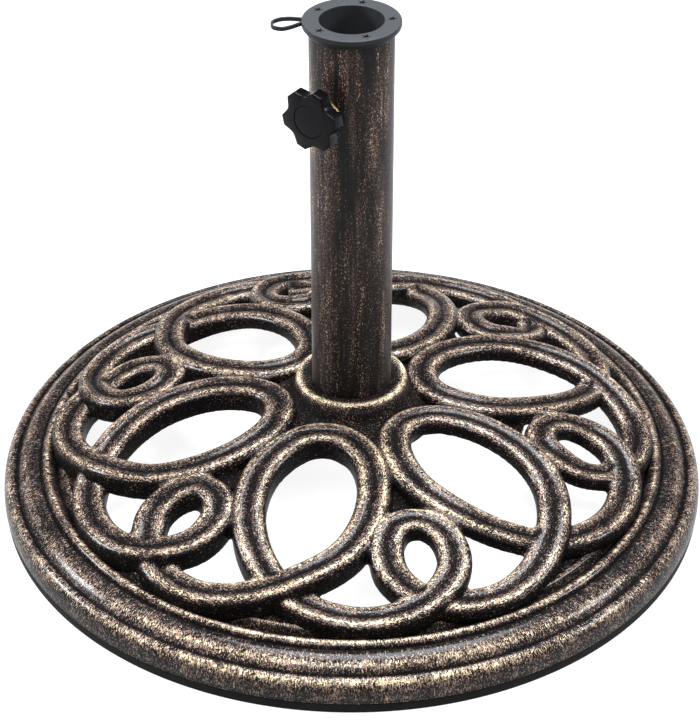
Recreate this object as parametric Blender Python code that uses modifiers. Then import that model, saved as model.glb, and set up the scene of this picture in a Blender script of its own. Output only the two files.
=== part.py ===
"""Parasol base: a round cast lattice base with a clamped upright pole socket.

Metres, +Z up. The origin is on the floor under the middle of the base; -Y is the front.
Lengths below are in millimetres and pass through mm() once, where a mesh is made.
"""

import math

import bmesh
import bpy
from mathutils import Matrix, Vector

# Driving dimensions, in millimetres
GAP = 0.3                   # clearance between touching pieces
BASE_RADIUS = 228.6         # an 18 inch base
TOTAL_HEIGHT = 332.5
TUBE_RADIUS = 25.4          # a 2 inch tube
TUBE_WALL = 1.5
TUBE_FOOT_Z = 66.3
TUBE_TOP_Z = 326.2
SEAT_Z = 66.0               # pocket floor that the tube stands on
HUB_UNDER_Z = 54.0
FLOOR_RING_HEIGHT = 7.0
BORE_RADIUS = 19.2          # takes a 38 mm parasol pole
REDUCER_RADIUS = 29.4
BUSH_RADIUS = 27.8

# The lattice: one ribbon of two half-round beads, repeated six times round the base
SECTORS = 6
RIBBON_HALF_WIDTH = 11.5
BEAD_OFFSET = 5.8
BEAD_RISE = 3.0
RIBBON_DEPTH = 13.0
DOME_TOP = 70.5             # height of the ribbon's middle groove on the axis
DOME_FALL = 30.0            # how far it falls by r = 200, as a square law
DOME_LIP = 12.0             # and the extra fall near the rim, as a sixth power
DOME_SPAN = 200.0
WEB_DROP = 7.0              # the webs lie this far under the groove
WEB_THICKNESS = 6.0
LATTICE_VOXEL = 2.0
LATTICE_FACES = 3900

# The front sector's centre line, anticlockwise from above: x, y and the rise over or under a crossing
RIBBON_SECTOR = (
    (-92, -162, 0), (-63, -168, 1), (-32, -162, 2), (-5, -145, 0), (10, -120, 0),
    (14, -91, 0), (8, -65, 0), (-7, -49, 0), (-26, -47, 0), (-44, -59, 0),
    (-58, -81, 0), (-63, -111, 0), (-57, -141, -2), (-40, -166, -4), (-15, -182, -1),
    (12, -186, 0), (38, -179, 1), (56, -164, 2), (62, -145, 0), (56, -128, 0),
    (42, -120, 0), (27, -124, 0), (21, -139, 0), (25, -156, -2), (42, -168, -4),
    (68, -171, -1),
)
STRUT_DIRECTION = -73.5     # degrees, the gap between the front petal and the next
STRUT_REACH = (36.0, 112.0)
STRUT_HALF_WIDTH = 13.0

# The clamp screw, on a level axis that points outwards from the tube
CLAMP_Z = 284.5
CLAMP_AZIMUTH = -125.0      # degrees from +X
SCREW_RADIUS = 4.0
NUT_ACROSS_FLATS = 14.5
NUT_TURN = 8.0              # degrees, so that one corner points along the tube's side
NUT_FACE = 27.4             # the places below are distances out from the tube's axis
SCREW_END = 23.6
TIP_END = 20.6
TIP_RADIUS = 3.6
BOSS_BACK = 32.4
LOBE_BACK = 35.8
KNOB_FACE = 44.0
KNOB_RADIUS = 19.4
KNOB_WAIST = 15.8
KNOB_LOBES = 6
KNOB_FLAT = 3.0             # half the width of a lobe's flat end
KNOB_TURN = -17.4           # degrees, where the first lobe stands at rest
CAP_RADIUS = 10.1

MM = 0.001


def mm(*values):
    """A point in millimetres as a vector in metres."""
    return Vector(values) * MM


def groove_z(radius):
    """Height of the ribbon's middle groove at this radius."""
    share = radius / DOME_SPAN
    return DOME_TOP - DOME_FALL * share**2 - DOME_LIP * share**6


# Scene and materials

def clear_scene():
    for obj in list(bpy.data.objects):
        bpy.data.objects.remove(obj, do_unlink=True)
    for old in list(bpy.context.scene.collection.children):
        bpy.context.scene.collection.children.unlink(old)


def new_collection(name, hidden=False):
    made = bpy.data.collections.new(name)
    made.hide_render = hidden
    bpy.context.scene.collection.children.link(made)
    return made


def material(name, colour, roughness, metallic):
    made = bpy.data.materials.new(name)
    made.use_nodes = True
    shader = made.node_tree.nodes["Principled BSDF"]
    shader.inputs["Base Color"].default_value = (*colour, 1.0)
    shader.inputs["Roughness"].default_value = roughness
    shader.inputs["Metallic"].default_value = metallic
    return made


def add_object(name, data, collection, finish=None):
    obj = bpy.data.objects.new(name, data)
    collection.objects.link(obj)
    if finish is not None:
        data.materials.append(finish)
    if collection.hide_render:
        obj.hide_render = True
        obj.display_type = "WIRE"
    return obj


# Shapes

def turned(name, profile, collection, finish=None, steps=48, axis_ends=False):
    """A turned solid from (radius, height) points that run down its outer side.

    The outline closes on itself, or on the axis when axis_ends is set.
    """
    mesh = bpy.data.meshes.new(name)
    points = [mm(radius, 0, height) for radius, height in profile]
    edges = [(i, i + 1) for i in range(len(points) - 1)]
    if not axis_ends:
        edges.append((len(points) - 1, 0))
    mesh.from_pydata(points, edges, [])
    obj = add_object(name, mesh, collection, finish)
    screw = obj.modifiers.new("Turn", "SCREW")
    screw.steps = steps
    screw.render_steps = steps
    screw.use_merge_vertices = True
    screw.merge_threshold = 0.00005
    screw.use_smooth_shade = False
    return obj


def ring_profile(inner, outer, low, high):
    return [(inner, high), (outer, high), (outer, low), (inner, low)]


def rod_profile(radius, low, high):
    return [(0, high), (radius, high), (radius, low), (0, low)]


def prism(name, sides, across_flats, low, high, collection, finish=None):
    """An upright regular prism between two heights."""
    mesh = bpy.data.meshes.new(name)
    body = bmesh.new()
    radius = across_flats / 2 / math.cos(math.pi / sides) * MM
    bmesh.ops.create_cone(
        body,
        cap_ends=True,
        segments=sides,
        radius1=radius,
        radius2=radius,
        depth=(high - low) * MM,
        matrix=Matrix.Translation(mm(0, 0, (low + high) / 2)),
    )
    body.to_mesh(mesh)
    body.free()
    return add_object(name, mesh, collection, finish)


def boolean(obj, operation, other):
    change = obj.modifiers.new(operation.title() + " " + other.name, "BOOLEAN")
    change.operation = operation
    change.object = other


def flat_outline(name, points, low, high, collection, finish=None):
    """A closed outline of (x, y) points filled between two heights, as a mesh."""
    curve = bpy.data.curves.new(name + "_outline", "CURVE")
    curve.dimensions = "2D"
    curve.fill_mode = "BOTH"
    curve.extrude = (high - low) / 2 * MM
    spline = curve.splines.new("POLY")
    spline.points.add(len(points) - 1)
    for point, (x, y) in zip(spline.points, points):
        point.co = (*mm(x, y, 0), 1)
    spline.use_cyclic_u = True
    guide = add_object(name + "_outline", curve, collection)
    return curve_to_mesh(guide, name, collection, finish, mm(0, 0, (low + high) / 2))


def curve_to_mesh(guide, name, collection, finish=None, shift=Vector()):
    """The curve's evaluated mesh with its caps welded; the curve is removed."""
    bpy.context.view_layer.update()
    graph = bpy.context.evaluated_depsgraph_get()
    mesh = bpy.data.meshes.new_from_object(guide.evaluated_get(graph))
    mesh.name = name
    body = bmesh.new()
    body.from_mesh(mesh)
    bmesh.ops.remove_doubles(body, verts=body.verts, dist=0.00002)
    bmesh.ops.recalc_face_normals(body, faces=body.faces)
    bmesh.ops.translate(body, verts=body.verts, vec=shift)
    body.to_mesh(mesh)
    body.free()
    mesh.materials.clear()
    bpy.data.objects.remove(guide)
    return add_object(name, mesh, collection, finish)


def swept(name, path, section, collection, cyclic):
    """An upright section (across, up) swept along a path of points in millimetres."""
    outline = bpy.data.curves.new(name + "_section", "CURVE")
    outline.dimensions = "2D"
    edge = outline.splines.new("POLY")
    edge.points.add(len(section) - 1)
    for point, (across, up) in zip(edge.points, section):
        point.co = (*mm(across, up, 0), 1)
    edge.use_cyclic_u = True
    section_object = add_object(name + "_section", outline, collection)
    curve = bpy.data.curves.new(name + "_path", "CURVE")
    curve.dimensions = "3D"
    curve.twist_mode = "Z_UP"
    curve.bevel_mode = "OBJECT"
    curve.bevel_object = section_object
    curve.use_fill_caps = not cyclic
    spline = curve.splines.new("POLY")
    spline.points.add(len(path) - 1)
    for point, place in zip(spline.points, path):
        point.co = (*mm(*place), 1)
    spline.use_cyclic_u = cyclic
    made = curve_to_mesh(add_object(name + "_path", curve, collection), name, collection)
    bpy.data.objects.remove(section_object)
    return made


def smooth_loop(points, parts):
    """A closed curve through the points, with this many steps between two of them."""
    count = len(points)
    made = []
    for i in range(count):
        before, start, end, after = (Vector(points[(i + k) % count]) for k in (-1, 0, 1, 2))
        for step in range(parts):
            t = step / parts
            made.append(
                0.5 * (
                    2 * start
                    + (end - before) * t
                    + (2 * before - 5 * start + 4 * end - after) * t**2
                    + (3 * start - before - 3 * end + after) * t**3
                )
            )
    return made


def turned_about_z(point, degrees):
    return Matrix.Rotation(math.radians(degrees), 3, "Z") @ Vector(point)


# The casting

def ribbon_section():
    """Two half-round beads side by side on a tapered bar."""
    half = RIBBON_HALF_WIDTH
    side = [
        (0.0, 0.0),
        (BEAD_OFFSET * 0.42, BEAD_RISE * 0.72),
        (BEAD_OFFSET, BEAD_RISE),
        (half * 0.82, BEAD_RISE * 0.62),
        (half, -BEAD_RISE * 0.4),
        (half, -RIBBON_DEPTH),
    ]
    return [(-x, z) for x, z in reversed(side)] + side[1:]


def ribbon_path():
    loop = []
    for sector in range(SECTORS):
        for x, y, rise in RIBBON_SECTOR:
            loop.append(turned_about_z((x, y, rise), sector * 360 / SECTORS))
    path = smooth_loop(loop, 2)
    return [(p.x, p.y, p.z + groove_z(math.hypot(p.x, p.y))) for p in path]


def strut_path(sector):
    angle = math.radians(STRUT_DIRECTION + sector * 360 / SECTORS)
    path = []
    for step in range(6):
        radius = STRUT_REACH[0] + (STRUT_REACH[1] - STRUT_REACH[0]) * step / 5
        path.append((radius * math.cos(angle), radius * math.sin(angle), groove_z(radius) - WEB_DROP))
    return path


def make_lattice(guides):
    """The ribbon and the webs between its petals, fused into one skin with soft inner corners."""
    pieces = [swept("ribbon", ribbon_path(), ribbon_section(), guides, True)]
    plate = ring_profile(-STRUT_HALF_WIDTH, STRUT_HALF_WIDTH, -WEB_THICKNESS, 0)
    for sector in range(SECTORS):
        pieces.append(swept(f"strut_{sector}", strut_path(sector), plate, guides, False))
    whole = bmesh.new()
    for piece in pieces:
        whole.from_mesh(piece.data)
        bpy.data.objects.remove(piece)
    mesh = bpy.data.meshes.new("lattice")
    whole.to_mesh(mesh)
    whole.free()
    lattice = add_object("lattice", mesh, guides)
    fuse = lattice.modifiers.new("Fuse", "REMESH")
    fuse.mode = "VOXEL"
    fuse.voxel_size = LATTICE_VOXEL * MM
    bpy.context.view_layer.update()
    fused = lattice.evaluated_get(bpy.context.evaluated_depsgraph_get())
    triangles = 2 * len(fused.data.polygons)
    thin = lattice.modifiers.new("Thin", "DECIMATE")
    thin.ratio = LATTICE_FACES / triangles
    return lattice


def rim_profile():
    """The moulded rim: an inner bead, a broad falling band and an outer bead over a plain wall."""
    return [
        (179.4, 30.6), (193.8, 23.8), (196.4, 28.6), (199.4, 30.0), (202.0, 28.8),
        (203.4, 26.4), (207.0, 27.5), (212.0, 26.4), (218.3, 21.6), (219.6, 20.2),
        (222.0, 21.8), (226.2, 19.2), (228.2, 14.5), (BASE_RADIUS, 10.0),
        (BASE_RADIUS, FLOOR_RING_HEIGHT + GAP), (216.5, FLOOR_RING_HEIGHT + GAP),
        (215.5, 13.0), (207.0, 18.0), (178.6, 20.2),
    ]


def hub_profile():
    """The raised hub, from the dished top out to the skirt and back under."""
    return [
        (0, 80.6), (30.0, 80.9), (33.6, 81.4), (35.3, 80.6), (36.3, 78.2), (37.4, 73.5),
        (40.0, 69.5), (46.0, 65.0), (56.0, 61.0), (56.0, 56.0), (44.0, HUB_UNDER_Z),
        (0, HUB_UNDER_Z),
    ]


def make_casting(parts, cutters, finish):
    lattice = make_lattice(cutters)
    hub = turned("hub", hub_profile(), cutters, steps=48, axis_ends=True)
    casting = turned("base_casting", rim_profile(), parts, finish, steps=64)
    boolean(casting, "UNION", lattice)
    boolean(casting, "UNION", hub)
    pocket = turned("tube_pocket", rod_profile(TUBE_RADIUS + GAP, SEAT_Z, 90), cutters, axis_ends=True)
    hole = turned("bolt_hole", rod_profile(5.6, 40, 80), cutters, steps=24, axis_ends=True)
    boolean(casting, "DIFFERENCE", pocket)
    boolean(casting, "DIFFERENCE", hole)
    return casting


def make_floor_ring(parts, finish):
    """The rubber ring that the base stands on, with a lip that hooks inside the rim."""
    profile = [
        (217.6, FLOOR_RING_HEIGHT), (228.0, FLOOR_RING_HEIGHT), (228.0, 1.2), (227.2, 0),
        (214.0, 0), (213.2, 1.0), (213.2, 10.5), (214.9, 10.5), (214.9, FLOOR_RING_HEIGHT),
    ]
    return turned("floor_ring", profile, parts, finish, steps=64)


# The upright and what fixes it

def clamp_axis(parts):
    """An empty on the tube's axis whose +Z points out along the clamp screw."""
    empty = bpy.data.objects.new("clamp_axis", None)
    empty.location = mm(0, 0, CLAMP_Z)
    empty.rotation_euler = (0, math.radians(90), math.radians(CLAMP_AZIMUTH))
    parts.objects.link(empty)
    return empty


def make_tube(parts, cutters, axis, finish):
    tube = turned(
        "pole_tube",
        ring_profile(TUBE_RADIUS - TUBE_WALL, TUBE_RADIUS, TUBE_FOOT_Z, TUBE_TOP_Z),
        parts,
        finish,
    )
    hole = turned("screw_hole", rod_profile(SCREW_RADIUS + 0.6, 10, 40), cutters, steps=24, axis_ends=True)
    hole.parent = axis
    boolean(tube, "DIFFERENCE", hole)
    return tube


def make_foot_fixing(parts, cutters, steel, zinc):
    """The welded foot plate, and the bolt with its washers that pulls the tube into the hub."""
    plate_top = TUBE_FOOT_Z + 8.0
    turned(
        "tube_foot_plate",
        ring_profile(5.3, TUBE_RADIUS - TUBE_WALL - GAP, TUBE_FOOT_Z, plate_top),
        parts,
        steel,
        steps=40,
    )
    washer_top = HUB_UNDER_Z - GAP
    washer_low = washer_top - 2.0
    turned("hub_washer", ring_profile(5.3, 15.0, washer_low, washer_top), parts, zinc, steps=32)
    spring_top = washer_low - GAP
    spring_low = spring_top - 2.5
    spring = turned("spring_washer", ring_profile(5.3, 9.0, spring_low, spring_top), parts, zinc, steps=32)
    slit = add_slit(cutters, 5.0, 10.0, (spring_low + spring_top) / 2)
    boolean(spring, "DIFFERENCE", slit)
    head_top = spring_low - GAP
    head = prism("hub_bolt", 6, 17.0, head_top - 6.4, head_top, parts, zinc)
    shank = turned("hub_bolt_shank", rod_profile(5.0, head_top - 3, plate_top - 1), cutters, steps=24, axis_ends=True)
    boolean(head, "UNION", shank)


def add_slit(cutters, inner, outer, height):
    """A thin block across one side of a washer."""
    mesh = bpy.data.meshes.new("washer_slit")
    body = bmesh.new()
    size = Matrix.Diagonal(mm(outer - inner + 2, 1.0, 8.0).to_4d())
    size[3][3] = 1
    place = Matrix.Translation(mm((inner + outer) / 2, 0, height)) @ Matrix.Rotation(0.35, 4, "X")
    bmesh.ops.create_cube(body, size=1.0, matrix=place @ size)
    body.to_mesh(mesh)
    body.free()
    return add_object("washer_slit", mesh, cutters)


def make_collar(parts, cutters, finish):
    """The fixed bush in the tube's mouth and the reducer that drops into it."""
    tube_bore = TUBE_RADIUS - TUBE_WALL
    bush_low = TUBE_TOP_Z + GAP
    bush_top = bush_low + 2.5
    bush_bore = 21.6
    turned(
        "collar_bush",
        [
            (bush_bore, bush_top), (BUSH_RADIUS, bush_top), (BUSH_RADIUS, bush_low + 0.6),
            (BUSH_RADIUS - 0.6, bush_low), (tube_bore - GAP, bush_low), (tube_bore - GAP, 300.0),
            (bush_bore, 300.0),
        ],
        parts,
        finish,
    )
    flange_low = bush_top + GAP
    reducer = turned(
        "reducer_insert",
        [
            (BORE_RADIUS + 0.4, TOTAL_HEIGHT), (REDUCER_RADIUS - 0.6, TOTAL_HEIGHT),
            (REDUCER_RADIUS, TOTAL_HEIGHT - 0.6), (REDUCER_RADIUS, flange_low),
            (bush_bore - GAP, flange_low), (bush_bore - GAP, 302.0), (BORE_RADIUS, 302.0),
            (BORE_RADIUS, TOTAL_HEIGHT - 0.4),
        ],
        parts,
        finish,
    )
    boolean(reducer, "UNION", make_pull_loop(cutters))
    for step in range(5):
        pocket = prism(f"collar_pocket_{step}", 5, 3.2, TOTAL_HEIGHT - 1.2, TOTAL_HEIGHT + 2, cutters)
        pocket.location = turned_about_z(mm(23.7, 0, 0), 2.4 + 72 * step)
        boolean(reducer, "DIFFERENCE", pocket)
    return reducer


def make_pull_loop(cutters):
    """The thin strap loop on the left of the reducer's flange."""
    route = [
        (-26.0, 2.2, 331.0), (-30.5, 3.2, 331.0), (-36.0, 4.0, 331.0), (-41.4, 3.6, 330.8),
        (-45.4, 1.2, 330.6), (-46.6, -2.8, 330.5), (-45.0, -6.8, 330.5), (-40.4, -8.6, 330.6),
        (-35.4, -6.8, 330.8), (-30.5, -3.4, 331.0), (-26.0, -1.4, 331.0),
    ]
    curve = bpy.data.curves.new("pull_loop_path", "CURVE")
    curve.dimensions = "3D"
    curve.bevel_depth = 1.1 * MM
    curve.bevel_resolution = 2
    curve.use_fill_caps = True
    spline = curve.splines.new("POLY")
    spline.points.add(len(route) - 1)
    for point, place in zip(spline.points, route):
        point.co = (*mm(*place), 1)
    return curve_to_mesh(add_object("pull_loop_path", curve, cutters), "pull_loop", cutters)


# The clamp: a nut welded on the tube, and the screw, knob, cap and thrust tip

def make_weld_nut(parts, cutters, axis, finish):
    nut = prism("weld_nut", 6, NUT_ACROSS_FLATS, 22.0, NUT_FACE, parts, finish)
    nut.parent = axis
    nut.rotation_euler.z = math.radians(NUT_TURN)
    saddle = turned("nut_saddle", rod_profile(TUBE_RADIUS + GAP, 260, 310), cutters, steps=48, axis_ends=True)
    bore = turned("nut_bore", rod_profile(SCREW_RADIUS + GAP, 10, 40), cutters, steps=24, axis_ends=True)
    bore.parent = axis
    boolean(nut, "DIFFERENCE", saddle)
    boolean(nut, "DIFFERENCE", bore)


def knob_outline():
    """Six flat-ended lobes with a hollow arc between each two."""
    points = []
    edge = math.asin(KNOB_FLAT / KNOB_RADIUS)
    for lobe in range(KNOB_LOBES):
        start = 2 * math.pi * lobe / KNOB_LOBES
        span = 2 * math.pi / KNOB_LOBES - 2 * edge
        for step in range(8):
            share = step / 7
            radius = KNOB_RADIUS - (KNOB_RADIUS - KNOB_WAIST) * math.sin(math.pi * share)
            angle = start + edge + span * share
            points.append((radius * math.cos(angle), radius * math.sin(angle)))
    return points


def make_knob(parts, cutters, axis, plastic, zinc):
    knob = flat_outline("clamp_knob", knob_outline(), LOBE_BACK, KNOB_FACE, parts, plastic)
    boss = turned("knob_boss", rod_profile(9.5, BOSS_BACK, LOBE_BACK + 2), cutters, steps=32, axis_ends=True)
    recess = turned(
        "knob_recess",
        [
            (0, KNOB_FACE + 3), (CAP_RADIUS + GAP, KNOB_FACE + 3), (CAP_RADIUS + GAP, 42.3),
            (8.2, 42.3), (8.2, 36.8), (0, 36.8),
        ],
        cutters,
        steps=40,
        axis_ends=True,
    )
    through = turned("knob_bore", rod_profile(SCREW_RADIUS + GAP, 30, 40), cutters, steps=24, axis_ends=True)
    boolean(knob, "UNION", boss)
    boolean(knob, "DIFFERENCE", recess)
    boolean(knob, "DIFFERENCE", through)
    screw = prism("knob_screw", 6, 13.0, 37.1, 42.2, parts, zinc)
    shank = turned("screw_shank", rod_profile(SCREW_RADIUS, SCREW_END, 39), cutters, steps=24, axis_ends=True)
    boolean(screw, "UNION", shank)
    cap = turned("knob_cap", rod_profile(CAP_RADIUS, 42.6, 43.6), parts, plastic, steps=40, axis_ends=True)
    for piece in (knob, boss, recess, through, screw, shank, cap):
        piece.parent = axis
    knob.rotation_euler.z = math.radians(KNOB_TURN)
    return knob


def make_thrust_tip(parts, axis, finish):
    tip = turned(
        "thrust_tip",
        [
            (0, SCREW_END - GAP), (TIP_RADIUS, SCREW_END - GAP), (TIP_RADIUS, TIP_END + 0.9),
            (TIP_RADIUS - 1.0, TIP_END), (0, TIP_END),
        ],
        parts,
        finish,
        steps=24,
        axis_ends=True,
    )
    tip.parent = axis


def main():
    clear_scene()
    parts = new_collection("parasol_base")
    cutters = new_collection("cutters", hidden=True)
    iron = material("antique_bronze_iron", (0.10, 0.075, 0.055), 0.5, 0.6)
    bronze = material("antique_bronze_tube", (0.11, 0.08, 0.06), 0.45, 0.6)
    steel = material("mild_steel", (0.30, 0.29, 0.28), 0.45, 1.0)
    zinc = material("yellow_zinc", (0.62, 0.50, 0.24), 0.35, 1.0)
    plastic = material("black_plastic", (0.03, 0.03, 0.033), 0.55, 0.0)
    rubber = material("black_rubber", (0.015, 0.015, 0.015), 0.85, 0.0)
    nylon = material("pale_nylon", (0.75, 0.73, 0.68), 0.5, 0.0)

    make_casting(parts, cutters, iron)
    make_floor_ring(parts, rubber)
    axis = clamp_axis(parts)
    make_tube(parts, cutters, axis, bronze)
    make_foot_fixing(parts, cutters, steel, zinc)
    make_collar(parts, cutters, plastic)
    make_weld_nut(parts, cutters, axis, zinc)
    make_knob(parts, cutters, axis, plastic, zinc)
    make_thrust_tip(parts, axis, nylon)


main()
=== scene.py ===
"""Parasol base: antique bronze cast lattice, upright socket, collar and clamp knob.

Lengths in the tables are millimetres in the CAD frame; meshes are made in metres.
Materials work in metres, because they read each mesh's own coordinates.
"""

import math

import bmesh
import bpy
import numpy as np
from mathutils import Matrix, Vector
from mathutils.kdtree import KDTree


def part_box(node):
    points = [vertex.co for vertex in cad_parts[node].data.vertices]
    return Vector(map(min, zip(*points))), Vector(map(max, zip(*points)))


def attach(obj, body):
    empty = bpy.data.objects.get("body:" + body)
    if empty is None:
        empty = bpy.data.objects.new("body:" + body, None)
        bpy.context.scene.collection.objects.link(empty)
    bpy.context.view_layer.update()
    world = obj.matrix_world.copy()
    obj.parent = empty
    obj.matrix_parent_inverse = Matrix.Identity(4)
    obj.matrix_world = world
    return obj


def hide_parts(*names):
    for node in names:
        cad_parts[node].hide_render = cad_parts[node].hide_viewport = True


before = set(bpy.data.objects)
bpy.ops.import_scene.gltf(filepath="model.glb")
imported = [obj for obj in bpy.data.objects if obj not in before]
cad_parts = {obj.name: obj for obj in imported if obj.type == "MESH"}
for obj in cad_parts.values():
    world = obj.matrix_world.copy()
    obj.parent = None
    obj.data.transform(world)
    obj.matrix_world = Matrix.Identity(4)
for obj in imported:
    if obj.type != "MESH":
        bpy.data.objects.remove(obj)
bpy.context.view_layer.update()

MM = 0.001
GAP = 0.3  # clearance between two pieces

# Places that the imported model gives
TUBE_LOW, TUBE_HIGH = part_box("pole_tube")
TUBE_RADIUS = TUBE_HIGH[1] / MM
TUBE_FOOT = TUBE_LOW[2] / MM
TUBE_TOP = TUBE_HIGH[2] / MM
BASE_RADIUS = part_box("base_casting")[1][1] / MM
CASTING_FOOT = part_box("base_casting")[0][2] / MM
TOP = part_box("reducer_insert")[1][2] / MM

# The lattice's one ribbon, as (x, y, lift) for a sixth of its loop: a petal, then a small loop
SECTORS = 6
RIBBON_SECTOR = (
    (-92, -162, 0), (-63, -168, 1), (-32, -162, 2), (-5, -145, 0), (10, -120, 0),
    (14, -91, 0), (8, -65, 0), (-7, -49, 0), (-26, -47, 0), (-44, -59, 0),
    (-58, -81, 0), (-63, -111, 0), (-57, -141, -2), (-40, -166, -4), (-15, -182, -1),
    (12, -186, 0), (38, -179, 1), (56, -164, 2), (62, -145, 0), (56, -128, 0),
    (42, -120, 0), (27, -124, 0), (21, -139, 0), (25, -156, -2), (42, -168, -4),
    (68, -171, -1),
)
RIBBON_STEPS = 8  # between two points of the table
RIBBON_HALF_WIDTH = 10.7
RIBBON_DEPTH = 13.0
BEAD_OFFSET = 5.5
BEAD_RISE = 3.0
BEAD_DROP = 4.6  # from a bead's top down to the bar's side
BEAD_STEPS = 7
GROOVE_LIFT = 0.1
SHOULDER = -2.0  # a thinned strand shrinks below this height only
THIN_SHARE = 0.52
DEEP_AZIMUTH = -155.0
DEEP_WITHIN = 62.0  # degrees either side of it at full depth
THIN_BEYOND = 90.0
STRUT_DIRECTION = -73.5
STRUT_REACH = (36.0, 112.0)
STRUT_HALF_WIDTH = 13.0
STRUT_DROP = 7.0
STRUT_THICKNESS = 6.0
STRUT_STEPS = 24
LATTICE_VOXEL = 1.2
SKIN_SIZE = 2.2
SKIN_HEIGHT = 0.22

# The rim's mouldings: each one's crest as (radius, width, measure), then its (radius, height) run
RIM_MOULDINGS = (
    ((188.0, 1.7, 0.38), (
        (179.4, 30.6), (182.6, 29.7), (185.4, 29.0), (188.0, 30.0), (190.2, 28.8),
        (192.0, 25.6), (193.6, 24.2),
    )),
    ((199.6, 2.3, 0.54), (
        (193.6, 24.2), (194.8, 26.6), (196.4, 28.7), (199.4, 30.0), (202.0, 28.9),
        (203.4, 26.5),
    )),
    ((214.0, 3.8, 0.41), (
        (203.4, 26.5), (205.0, 27.3), (207.5, 27.6), (210.5, 26.9), (213.0, 25.9),
        (215.6, 24.2), (218.4, 21.4),
    )),
    ((224.6, 3.2, 0.47), (
        (218.4, 21.4), (219.6, 20.5), (221.2, 21.7), (223.6, 21.4), (226.2, 19.0),
        (227.8, 15.3), (228.5, 11.4),
    )),
)
RIM_RUN_STEPS = 4
RIM_GROUND = 0.12
RIM_GROOVES = (193.4, 203.6, 219.6)
GROOVE_WIDTH = 0.9
GROOVE_MEASURE = 0.34
RIM_STEPS = 720

# The hub
SEAT_Z = 66.0
HUB_UNDER_Z = 54.0
BOLT_HOLE = 5.6

# Painted front light on the gold: the full share in front, falling as painted shade to the least
# share beyond the wider angle
FRONT_AZIMUTH = -90.0
FRONT_LIT_WITHIN = 12.0
FRONT_LIT_LEAST_BEYOND = 60.0
LATTICE_LEAST_LIT = 0.86
RIM_LEAST_LIT = 0.72
# Across a strand: (distance from its groove, width, measure) of a broad band and of a richer line
BAND_AT, BAND_WIDTH, BAND_MEASURE = 6.0, 4.6, 0.405
LINE_AT, LINE_WIDTH, LINE_MEASURE = 6.9, 1.7, 0.25
STRAND_GROUND = -0.03
STRAND_STRETCH = 0.5  # of the grain along a strand

# The tube and the collar
TUBE_WALL = 1.5
SCREW_HOLE = 4.6
COLLAR_FLANGE = 2.5
BUSH_RADIUS = 27.8
BUSH_BORE = 21.6
BUSH_END = 300.0  # the height of its sleeve's lower end
REDUCER_RADIUS = 29.4
REDUCER_BORE = 19.2
REDUCER_END = 302.0
STAR_POCKETS = 5
STAR_POINTS = 5
STAR_REACH = 3.3
STAR_WAIST = 1.2
STAR_RING = 23.7
STAR_TURN = 2.4
STAR_DEPTH = 1.4
PULL_LOOP = (
    (-28.4, 2.6, 331.0), (-30.5, 3.2, 331.0), (-36.0, 4.0, 331.0), (-41.4, 3.6, 330.8),
    (-45.4, 1.2, 330.6), (-46.6, -2.8, 330.5), (-45.0, -6.8, 330.5), (-40.4, -8.6, 330.6),
    (-35.4, -6.8, 330.8), (-30.5, -3.4, 331.0), (-28.4, -2.3, 331.0),
)

# The clamp. Its lengths are measured out from the tube's axis.
CLAMP_Z = 284.5
CLAMP_AZIMUTH = -125.0
NUT_FLATS = 14.5
NUT_FROM, NUT_TO = 22.0, 27.4
NUT_TURN = 38.0
KNOB_RADIUS = 19.4
KNOB_WAIST = 15.8
KNOB_LOBES = 6
KNOB_FLAT = 3.0
KNOB_TURN = -17.4
KNOB_LEVELS = (  # (distance, inset of the outline)
    (35.8, 0.5), (35.9, 0.25), (36.05, 0.08), (36.3, 0.0), (43.1, 0.0), (43.5, 0.10),
    (43.8, 0.35), (44.0, 0.85),
)
KNOB_BOSS = 9.5
BOSS_FROM = 32.4
HEAD_POCKET = 8.2
CAP_RADIUS = 10.2
CAP_SEAT = 10.4
CAP_FROM, CAP_TO = 42.6, 43.7
SCREW_FLATS = 13.0
SCREW_BORE = 4.3
SCREW_FROM, HEAD_FROM, HEAD_TO = 23.6, 37.1, 42.2
SCREW_THREAD = (4.0, 0.42, 1.25)  # radius, depth, pitch
TIP_RADIUS = 3.6
TIP_FROM, TIP_TO = 20.6, 23.3

# What holds the tube in the hub
FOOT_PLATE = 8.0
FIXING_HOLE = 5.3
WASHER_RADIUS = 15.0
WASHER = 2.0
SPRING_WASHER = 2.5
BOLT_FLATS = 17.0
BOLT_HEAD = 6.4
BOLT_THREAD = (5.0, 0.5, 1.5)

HEX_FILLET = 0.35
HEX_SHARP = 28  # degrees
CHAMFER_SHARE = 0.96
CHAMFER_SLOPE = 0.58
THREAD_ROWS = 6  # to one pitch


# Mesh helpers

def mesh_object(name, points, faces, material=None, smooth=True):
    """An object from points in millimetres."""
    mesh = bpy.data.meshes.new(name)
    mesh.from_pydata([tuple(c * MM for c in p) for p in points], [], faces)
    mesh.validate()
    mesh.update()
    obj = bpy.data.objects.new(name, mesh)
    bpy.context.scene.collection.objects.link(obj)
    if material is not None:
        mesh.materials.append(material)
    if smooth:
        mesh.shade_smooth()
    return obj


def on_circle(radius, angle):
    return radius * math.cos(angle), radius * math.sin(angle)


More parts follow.
